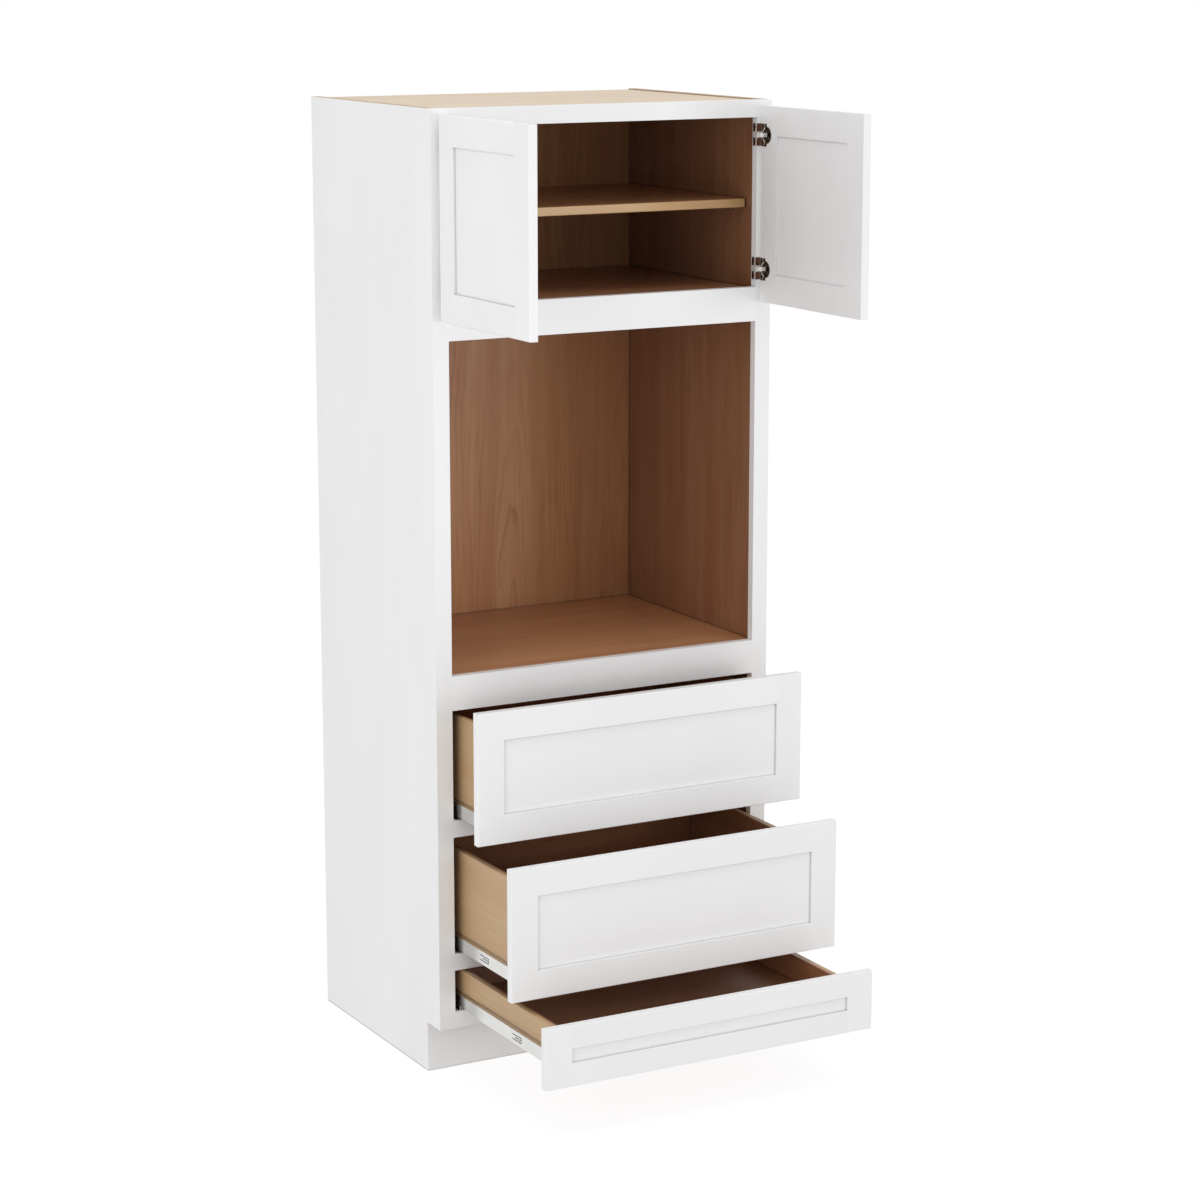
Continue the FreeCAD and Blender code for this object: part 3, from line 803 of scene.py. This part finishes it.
@dataclass
class ScrewHead:
    """The head of a screw with a cross recess, modelled once at the origin and facing up."""

    radius_mm: float = 3.4
    height_mm: float = 0.5
    dome_mm: float = 0.3
    dome_steps: int = 3
    sides: int = 24
    recess_mm: tuple[float, float, float] = (3.6, 0.9, 0.36)

    def build(self) -> bpy.types.Object:
        """Models the head.

        Returns:
            The head, to be copied and then thrown away.
        """
        radius, height = self.radius_mm * MM, self.height_mm * MM
        bpy.ops.object.select_all(action="DESELECT")
        bpy.ops.mesh.primitive_cylinder_add(vertices=self.sides, radius=radius, depth=height,
                                            location=(0.0, 0.0, height / 2))
        bpy.ops.object.transform_apply(location=True)
        head = bpy.context.object
        choose_faces(head, lambda middle, normal: normal.z > FACING)
        bpy.ops.mesh.bevel(offset=self.dome_mm * MM, segments=self.dome_steps, affect="EDGES")
        bpy.ops.object.mode_set(mode="OBJECT")
        length, width, depth = (size * MM for size in self.recess_mm)
        middle = Vector((0.0, 0.0, height))
        cut_away(head, Vector((length, width, 2 * depth)), middle)
        cut_away(head, Vector((width, length, 2 * depth)), middle)
        return head


@dataclass
class Hinges:
    """Rims as painted highlights, screws and platings of the four concealed hinges."""

    flange_x_mm: float = 385.15
    cup_y_mm: float = -645.55
    cup_screw_y_mm: float = -634.0
    cup_screw_z_mm: float = 20.5
    base_x_mm: float = 380.2
    base_y_mm: float = -604.8
    base_screw_z_mm: float = 16.0
    rim_mm: float = 16.8
    rim_half_mm: float = 1.3
    rim_proud_mm: float = 0.2
    rim_steps: tuple[int, int] = (56, 10)
    mouth_mm: float = 14.0
    rim_end_mm: float = 5.5
    frame_front_mm: float = -612.8
    bend_mm: float = 7.0
    heights_mm: tuple[float, float] = (1762.1, 2057.4)
    hands: tuple[tuple[str, float], ...] = (("left", -1.0), ("right", 1.0))

    def places(self, side: float, x_mm: float, y_mm: float, offsets_mm: Iterable[float]) -> list[Matrix]:
        """Places on the hinges of one door, facing the middle of the cabinet.

        Args:
            side: -1 for the left door and 1 for the right.
            x_mm: Distance from the middle of the cabinet.
            y_mm: Place in depth.
            offsets_mm: Heights over each hinge's middle.

        Returns:
            A matrix for each place, which turns up to inwards.
        """
        turn = Matrix.Rotation(-side * math.pi / 2, 4, "Y")
        spots = [z + offset for z in self.heights_mm for offset in offsets_mm]
        return [Matrix.Translation(Vector((side * x_mm, y_mm, z)) * MM) @ turn for z in spots]

    def build(self) -> None:
        """Adds the screws and the rims, which paint a highlight on each cup."""
        head = ScrewHead().build()
        rim = self.build_rim()
        for hand, side in self.hands:
            up_and_down = (-self.cup_screw_z_mm, self.cup_screw_z_mm)
            screws = lay_out(head, f"{hand}_cup_screws",
                             self.places(side, self.flange_x_mm, self.cup_screw_y_mm, up_and_down))
            fit(screws, f"{hand}_door", Finishes.NICKEL)
            rims = lay_out(rim, f"{hand}_cup_rims", self.places(side, self.flange_x_mm, self.cup_y_mm, (0.0,)))
            # the rims are pale, a painted highlight on each cup
            fit(rims, f"{hand}_door", Finishes.RIM_PAINTED_HIGHLIGHT)
            up_and_down = (-self.base_screw_z_mm, self.base_screw_z_mm)
            screws = lay_out(head, f"{hand}_base_screws",
                             self.places(side, self.base_x_mm, self.base_y_mm, up_and_down))
            # the base screws take the brown nickel, a painted reflection of the interior
            fit(screws, "carcass", Finishes.NICKEL_PAINTED_REFLECTION)
        bpy.data.objects.remove(head)
        bpy.data.objects.remove(rim)

    def build_rim(self) -> bpy.types.Object:
        """Models the rolled rim of a cup: two curved beads, one on each side of where the arm goes in, pale as a
        painted highlight.

        Returns:
            The rim at the origin, facing up, with its opening towards +Y.
        """
        bpy.ops.object.select_all(action="DESELECT")
        around, across = self.rim_steps
        flat = self.rim_proud_mm / self.rim_half_mm
        bpy.ops.mesh.primitive_torus_add(major_radius=self.rim_mm * MM, minor_radius=self.rim_half_mm * MM,
                                         major_segments=around, minor_segments=across)
        bpy.ops.transform.resize(value=(1.0, 1.0, flat))
        bpy.ops.object.transform_apply(scale=True)
        rim = bpy.context.object
        reach = 2 * self.rim_mm * MM
        cut_away(rim, Vector((self.mouth_mm * MM, reach, reach)), Vector((0.0, reach / 2, 0.0)))
        cut_away(rim, Vector((2 * reach, reach, reach)), Vector((0.0, self.rim_end_mm * MM - reach / 2, 0.0)))
        return rim

    def dress(self) -> None:
        """Plates the cups, links and bases."""
        base = HingePressing("hinge_base_plating", Finishes.NICKEL_PAINTED_REFLECTION, Finishes.SATIN, self.frame_front_mm,
                             self.bend_mm, self.heights_mm)
        for hand, _ in self.hands:
            # the cups take darker nickel, painted shade and reflection
            dress((f"{hand}_hinge_cups",), Finishes.CUP_NICKEL_PAINTED_SHADE)
            dress((f"{hand}_hinge_links",), Finishes.SATIN)
            dress((f"{hand}_hinge_bases",), base)


@dataclass
class Carcass:
    """Sides, back, decks, top, toe board, shelf and pins."""

    half_width_mm: float = 419.1
    height_mm: float = 2133.6
    skin_mm: float = 0.3
    lip_mm: float = 2.5
    band_mm: float = 1.1

    def dress(self) -> None:
        """Covers the boards: paint outside, veneer inside, sawn edges, a raw back, edge band on the shelf."""
        # the sides' inner veneer is a darker copy, painted shade
        upper = FacedBoard("side_with_top_edge", Finishes.PLY_UP_PAINTED_SHADE, Finishes.RAW_EDGE, "Z",
                           self.height_mm - self.lip_mm)
        edged = FacedBoard("side_with_rear_edge", upper, Finishes.RAW_EDGE, "Y", -self.skin_mm)
        outside = FacedBoard("lacquered_side_ply", edged, Finishes.PAINT_UP, "X",
                             self.half_width_mm - self.skin_mm, both_sides=True)
        dress(("side_panel_left", "side_panel_right"), outside)
        # the back's veneer carries painted light, and painted shade to the right
        backed = FacedBoard("raw_backed_ply", Finishes.PLY_BACK_PAINTED_LIGHT, Finishes.RAW_BACK, "Y", -self.skin_mm,
                            specular=0.25, painted_corner_shade=1.0)
        dress(("back_panel",), backed)
        dress(("bottom_deck", "upper_deck", "oven_deck_cleats"), Finishes.PLY_ACROSS)
        # the oven deck's veneer is a lighter copy, painted light
        dress(("oven_deck",), Finishes.PLY_OVEN_PAINTED_LIGHT)
        dress(("top_panel",), Finishes.TOP)
        dress(("toe_kick_board",), Finishes.PAINT_ACROSS)
        shelf_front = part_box("adjustable_shelf")[0].y * M_TO_MM
        banded = FacedBoard("edge_banded_shelf", Finishes.PLY_ACROSS, Finishes.EDGE_BAND, "Y",
                            shelf_front + self.band_mm, below=True)
        dress(("adjustable_shelf",), banded)
        dress(("shelf_pins",), Finishes.PIN)


@dataclass
class FaceFrame:
    """Stiles and rails of the face frame."""

    rails: tuple[str, ...] = ("bottom_rail", "drawer_rails", "oven_lower_rail", "oven_upper_rail", "top_rail")

    def dress(self) -> None:
        """Paints the frame, with the grain along each member."""
        dress(("frame_stile_left", "frame_stile_right"), Finishes.PAINT_UP)
        dress((f"frame_{rail}" for rail in self.rails), Finishes.PAINT_ACROSS)


@dataclass
class Door:
    """One door of the pair."""

    hand: str

    def dress(self) -> None:
        """Paints the door, with the grain along each member."""
        dress((f"{self.hand}_door_stiles", f"{self.hand}_door_panel"), Finishes.PAINT_UP)
        dress((f"{self.hand}_door_rails",), Finishes.PAINT_ACROSS)


@dataclass
class Drawer:
    """One drawer: front, box and slides."""

    name: str
    end_mm: float = 15.9
    screw_x_mm: float = 220.0
    screw_z_mm: float = 24.0
    latch_mm: float = 156.0
    # black plates inside the slides, behind the latch tongues: painted shade that makes each cut read dark
    shade_plate_mm: tuple[float, float, float] = (0.2, 47.0, 18.0)
    shade_plate_x_mm: float = 369.7
    shade_plate_corner_mm: float = 3.0
    shade_plate_corner_steps: int = 4
    shade_plate_step_mm: float = 0.8
    latch_length_mm: float = 42.0
    skin_mm: float = 0.2
    near_mm: float = 0.01

    def build(self) -> None:
        """Adds the screws behind the front, and black plates inside the slides that paint shade behind the latch
        tongues.
        """
        low, high = (corner * M_TO_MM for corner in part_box(f"{self.name}_box_ends"))
        head = ScrewHead(radius_mm=4.6, height_mm=1.9, dome_mm=1.1, recess_mm=(4.6, 1.0, 0.9)).build()
        turn = Matrix.Rotation(-math.pi / 2, 4, "X")
        spots = [Vector((x, low.y + self.end_mm, z)) for x in (-self.screw_x_mm, self.screw_x_mm)
                 for z in (low.z + self.screw_z_mm, high.z - self.screw_z_mm)]
        places = [Matrix.Translation(spot * MM) @ turn for spot in spots]
        screws = lay_out(head, f"{self.name}_front_screws", places)
        fit(screws, f"{self.name}_drawer", Finishes.ZINC)
        bpy.data.objects.remove(head)
        low, high = (corner * M_TO_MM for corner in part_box(f"{self.name}_drawer_rails"))
        shade_plate = self.build_shade_plate()
        depth = low.y + self.latch_mm + self.latch_length_mm / 2
        spots = [Vector((side * self.shade_plate_x_mm, depth, (low.z + high.z) / 2)) for side in (-1.0, 1.0)]
        shade_plates = lay_out(shade_plate, f"{self.name}_latch_levers", [Matrix.Translation(spot * MM) for spot in spots])
        # the plates paint shade behind the latch tongues
        fit(shade_plates, f"{self.name}_drawer", Finishes.SHADE_PLATE)
        bpy.data.objects.remove(shade_plate)

    def build_shade_plate(self) -> bpy.types.Object:
        """Models a black plate with round corners and a stepped edge, painted shade behind a latch tongue.

        Returns:
            The plate at the origin.
        """
        bpy.ops.object.select_all(action="DESELECT")
        bpy.ops.mesh.primitive_cube_add(size=1.0, scale=Vector(self.shade_plate_mm) * MM)
        bpy.ops.object.transform_apply(scale=True)
        shade_plate = bpy.context.object
        corners = [edge.index for edge in shade_plate.data.edges if self.runs_across(shade_plate, edge)]
        bpy.context.tool_settings.mesh_select_mode = (False, True, False)
        bpy.ops.object.mode_set(mode="EDIT")
        bpy.ops.mesh.select_all(action="DESELECT")
        bpy.ops.object.mode_set(mode="OBJECT")
        for index in corners:
            shade_plate.data.edges[index].select = True
        bpy.ops.object.mode_set(mode="EDIT")
        bpy.ops.mesh.bevel(offset=self.shade_plate_corner_mm * MM, segments=self.shade_plate_corner_steps, affect="EDGES")
        bpy.ops.object.mode_set(mode="OBJECT")
        choose_faces(shade_plate, lambda middle, normal: abs(normal.x) > FACING)
        bpy.ops.mesh.inset(thickness=self.shade_plate_step_mm * MM, depth=0.0, use_individual=True)
        bpy.ops.object.mode_set(mode="OBJECT")
        return shade_plate

    def runs_across(self, shade_plate: bpy.types.Object, edge: bpy.types.MeshEdge) -> bool:
        """Says whether an edge of the plate runs through its thickness.

        Args:
            shade_plate: The black plate.
            edge: One of its edges.

        Returns:
            True for an edge along X.
        """
        first, second = (shade_plate.data.vertices[index].co for index in edge.vertices)
        return abs(first.y - second.y) + abs(first.z - second.z) < self.near_mm * MM

    def dress(self) -> None:
        """Paints the front, and gives the box maple and the slides zinc."""
        dress((f"{self.name}_front_stiles",), Finishes.PAINT_UP)
        dress((f"{self.name}_front_rails", f"{self.name}_front_panel"), Finishes.PAINT_ACROSS)
        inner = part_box(f"{self.name}_box_ends")[1].x * M_TO_MM
        # inner faces take the darker copy, painted shade; outer faces the drawer maple
        sides = FacedBoard("drawer_side_maple_painted_shade_inside", Finishes.PLY_DEEP_PAINTED_SHADE, Finishes.BOX_DEEP, "X", inner + self.skin_mm,
                           both_sides=True)
        dress((f"{self.name}_box_sides",), sides)
        dress((f"{self.name}_box_ends",), Finishes.PLY_ACROSS)
        dress((f"{self.name}_box_bottom",), Finishes.BOX_FLOOR)
        dress((f"{self.name}_{rail}_rails" for rail in ("drawer", "middle", "fixed")), Finishes.ZINC)


@dataclass(frozen=True)
class Lamp:
    """A square soft box."""

    name: str
    place: tuple[float, float, float]
    power: float
    size: float = 3.5
    aim: tuple[float, float, float] = (0.0, -0.5, 1.1)

    def build(self) -> None:
        """Hangs the lamp and turns it to the cabinet."""
        data = bpy.data.lights.new(self.name, "AREA")
        data.energy = self.power
        data.size = self.size
        lamp = bpy.data.objects.new(self.name, data)
        bpy.context.scene.collection.objects.link(lamp)
        lamp.location = self.place
        lamp.rotation_euler = (Vector(self.aim) - Vector(self.place)).to_track_quat("-Z", "Y").to_euler()


@dataclass
class Studio:
    """Pale floor, white surroundings, soft lamps and the camera."""

    lamps: tuple[Lamp, ...] = (
        Lamp("top_soft_box", (0.0, -2.6, 7.0), 86.0),
        Lamp("left_soft_box", (-6.3, -2.0, 3.0), 92.0, 8.0),
        Lamp("front_left_soft_box", (-5.3, -4.4, 1.5), 80.0),
        Lamp("front_right_soft_box", (2.6, -7.1, 1.5), 64.0, 2.0),
    )
    floor_half: float = 30.0
    floor_albedo: str = "#EDEDED"
    floor_glow: float = 0.65
    floor_white: float = 1.12
    shadow_share: float = 0.2
    surround: float = 0.65
    camera_place: tuple[float, float, float] = (-3.3041, -6.5807, 2.4724)
    camera_yaw: float = 28.861
    camera_pitch: float = 11.808
    lens_mm: float = 94.352
    sensor_mm: float = 36.0

    def build(self) -> None:
        """Sets up the floor, the surroundings, the lamps and the camera."""
        self.build_floor()
        self.build_world()
        for lamp in self.lamps:
            lamp.build()
        self.build_camera()
        bpy.context.scene.view_settings.view_transform = "Standard"

    def build_floor(self) -> None:
        """A wide pale floor that keeps a faint shadow."""
        bpy.ops.object.select_all(action="DESELECT")
        bpy.ops.mesh.primitive_plane_add(size=2 * self.floor_half)
        floor = bpy.context.object
        floor.name = "studio_floor"
        made = bpy.data.materials.new("pale_floor")
        made.use_nodes = True
        tree = made.node_tree
        tree.nodes.clear()
        matt = add(tree, "ShaderNodeBsdfDiffuse", {"Color": srgb(self.floor_albedo)})
        strength = ranged(tree, self.seen_rays(tree), self.floor_glow, self.floor_white, 0.0, 1.0)
        glow = add(tree, "ShaderNodeEmission", {"Color": WHITE, "Strength": strength})
        shares = {0: self.shadow_share, 1: glow.outputs[0], 2: matt.outputs[0]}
        surface = add(tree, "ShaderNodeMixShader", shares)
        add(tree, "ShaderNodeOutputMaterial", {"Surface": surface.outputs[0]})
        floor.data.materials.append(made)

    def build_world(self) -> None:
        """White all round, for the camera and in the metal, and an even soft light."""
        world = bpy.data.worlds.new("white_studio")
        bpy.context.scene.world = world
        world.use_nodes = True
        tree = world.node_tree
        tree.nodes.clear()
        light = add(tree, "ShaderNodeBackground", {"Color": WHITE, "Strength": self.surround})
        white = add(tree, "ShaderNodeBackground", {"Color": WHITE, "Strength": 1.0})
        shares = {0: self.seen_rays(tree), 1: light.outputs[0], 2: white.outputs[0]}
        both = add(tree, "ShaderNodeMixShader", shares)
        add(tree, "ShaderNodeOutputWorld", {"Surface": both.outputs[0]})

    def seen_rays(self, tree: Tree) -> Socket:
        """Picks out what the camera sees, straight or in a sheen.

        Args:
            tree: Node tree of the floor or the world.

        Returns:
            One for a seen ray and zero for a ray that only brings light.
        """
        rays = add(tree, "ShaderNodeLightPath").outputs
        return calculate(tree, "MAXIMUM", rays["Is Camera Ray"], rays["Is Glossy Ray"])

    def build_camera(self) -> None:
        """The photograph's camera, to the left of the front and a little above the top."""
        data = bpy.data.cameras.new("studio_camera")
        data.lens = self.lens_mm
        data.sensor_width = self.sensor_mm
        camera = bpy.data.objects.new("studio_camera", data)
        bpy.context.scene.collection.objects.link(camera)
        camera.location = self.camera_place
        tilt = math.radians(90.0 - self.camera_pitch)
        camera.rotation_euler = Euler((tilt, 0.0, -math.radians(self.camera_yaw)))
        bpy.context.scene.camera = camera


def main() -> None:
    """Dresses every sub-assembly and sets up the studio."""
    logging.basicConfig(level=logging.INFO, format="%(message)s")
    Carcass().dress()
    FaceFrame().dress()
    for hand in ("left", "right"):
        Door(hand).dress()
    hinges = Hinges()
    hinges.build()
    hinges.dress()
    for name in ("lower", "middle", "upper"):
        drawer = Drawer(name)
        drawer.build()
        drawer.dress()
    dress(("slide_rear_brackets",), Finishes.PLASTIC)
    Studio().build()


if __name__ == "__main__":
    main()
